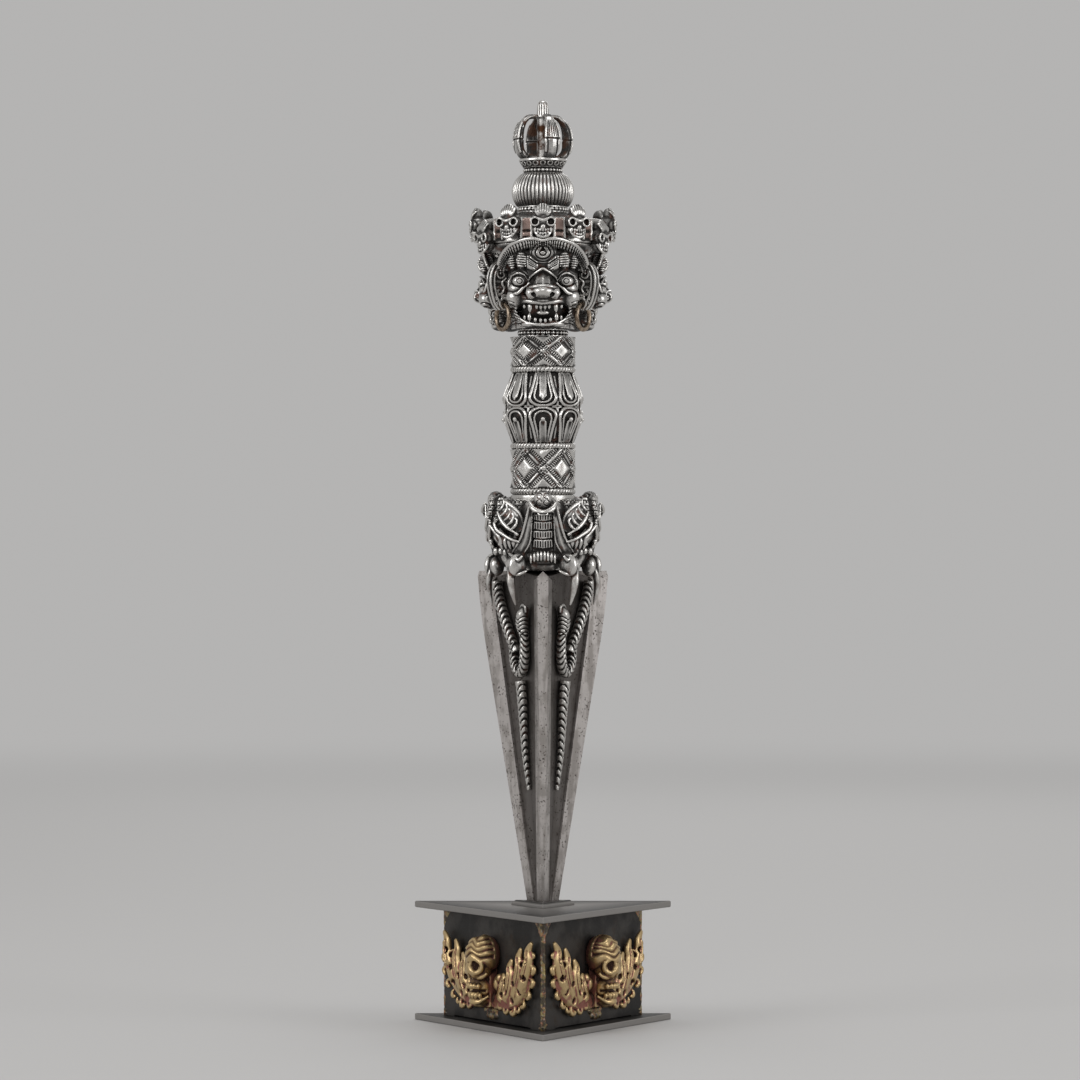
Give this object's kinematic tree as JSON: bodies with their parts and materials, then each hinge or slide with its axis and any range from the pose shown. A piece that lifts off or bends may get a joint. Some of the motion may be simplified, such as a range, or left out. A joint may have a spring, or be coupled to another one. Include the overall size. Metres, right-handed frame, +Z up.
{
  "type": "phurba",
  "caption": "Three-finned ritual dagger with makara, lotus and triple-head hilt, standing point down in a three-cornered box stand; it lifts out, and wire ear rings swing.",
  "frame": {"origin": "centre of the base plate's underside, on the axis of the blade", "axes": "+Z up along the phurba, -Y towards the front corner of the stand and the front face, +X to the viewer's right"},
  "size_m": [0.09, 0.0821, 0.3201],
  "materials": {
    "antique_silver": "antiqued, polished on the high places",
    "darkened_silver": "darkened by patina, worn bright on ridges",
    "blade_steel": "satin, finely pitted",
    "pewter_grey_plate": "dull brushed",
    "dark_iron": "blackened",
    "brazing": "mottled brass and copper",
    "cast_brass": "worn, copper coloured in the recesses",
    "ring_wire": "dull bronze"
  },
  "bodies": {
    "stand": {"stand_base_plate": "pewter_grey_plate", "stand_wall_1": "dark_iron", "stand_wall_2": "dark_iron", "stand_wall_3": "dark_iron", "stand_brazing": "brazing", "skull_ornament_1": "cast_brass", "skull_ornament_2": "cast_brass", "skull_ornament_3": "cast_brass", "stand_top_plate": "pewter_grey_plate", "socket_collar": "pewter_grey_plate"},
    "phurba": {"blade": "blade_steel", "naga_1": "darkened_silver", "naga_2": "darkened_silver", "naga_3": "darkened_silver", "makara_core": "darkened_silver", "makara_head_1": "antique_silver", "makara_head_2": "antique_silver", "makara_head_3": "antique_silver", "rope_ring_lower": "antique_silver", "lower_knot": "antique_silver", "rope_ring_middle": "antique_silver", "lotus_lower": "antique_silver", "lotus_upper": "antique_silver", "rope_ring_upper": "antique_silver", "upper_knot": "antique_silver", "neck_ring": "antique_silver", "head_1": "antique_silver", "head_2": "antique_silver", "head_3": "antique_silver", "ears_1": "antique_silver", "ears_2": "antique_silver", "ears_3": "antique_silver", "crown_band": "darkened_silver", "crown_skulls_1": "antique_silver", "crown_skulls_2": "antique_silver", "crown_skulls_3": "antique_silver", "bulb_ring": "antique_silver", "fluted_bulb": "antique_silver", "vajra_collar": "antique_silver", "vajra_prong_1": "antique_silver", "vajra_prong_2": "antique_silver", "vajra_prong_3": "antique_silver", "vajra_prong_4": "antique_silver", "vajra_centre_prong": "antique_silver"},
    "ring_1": {"ear_ring_1": "ring_wire"},
    "ring_2": {"ear_ring_2": "ring_wire"},
    "ring_3": {"ear_ring_3": "ring_wire"}
  },
  "joints": [
    {"name": "phurba_lift", "type": "slide", "parent": "stand", "child": "phurba", "axis": [0, 0, 1], "range_m": [0, 0.04]},
    {"name": "ear_ring_1_swing", "type": "hinge", "parent": "phurba", "child": "ring_1", "pos_m": [0.01377, -0.00795, 0.2493], "axis": [-0.5, -0.866, 0], "range_deg": [-15, 60]},
    {"name": "ear_ring_2_swing", "type": "hinge", "parent": "phurba", "child": "ring_2", "pos_m": [0, 0.0159, 0.2493], "axis": [1, 0, 0], "range_deg": [-15, 60]},
    {"name": "ear_ring_3_swing", "type": "hinge", "parent": "phurba", "child": "ring_3", "pos_m": [-0.01377, -0.00795, 0.2493], "axis": [-0.5, 0.866, 0], "range_deg": [-15, 60]}
  ]
}
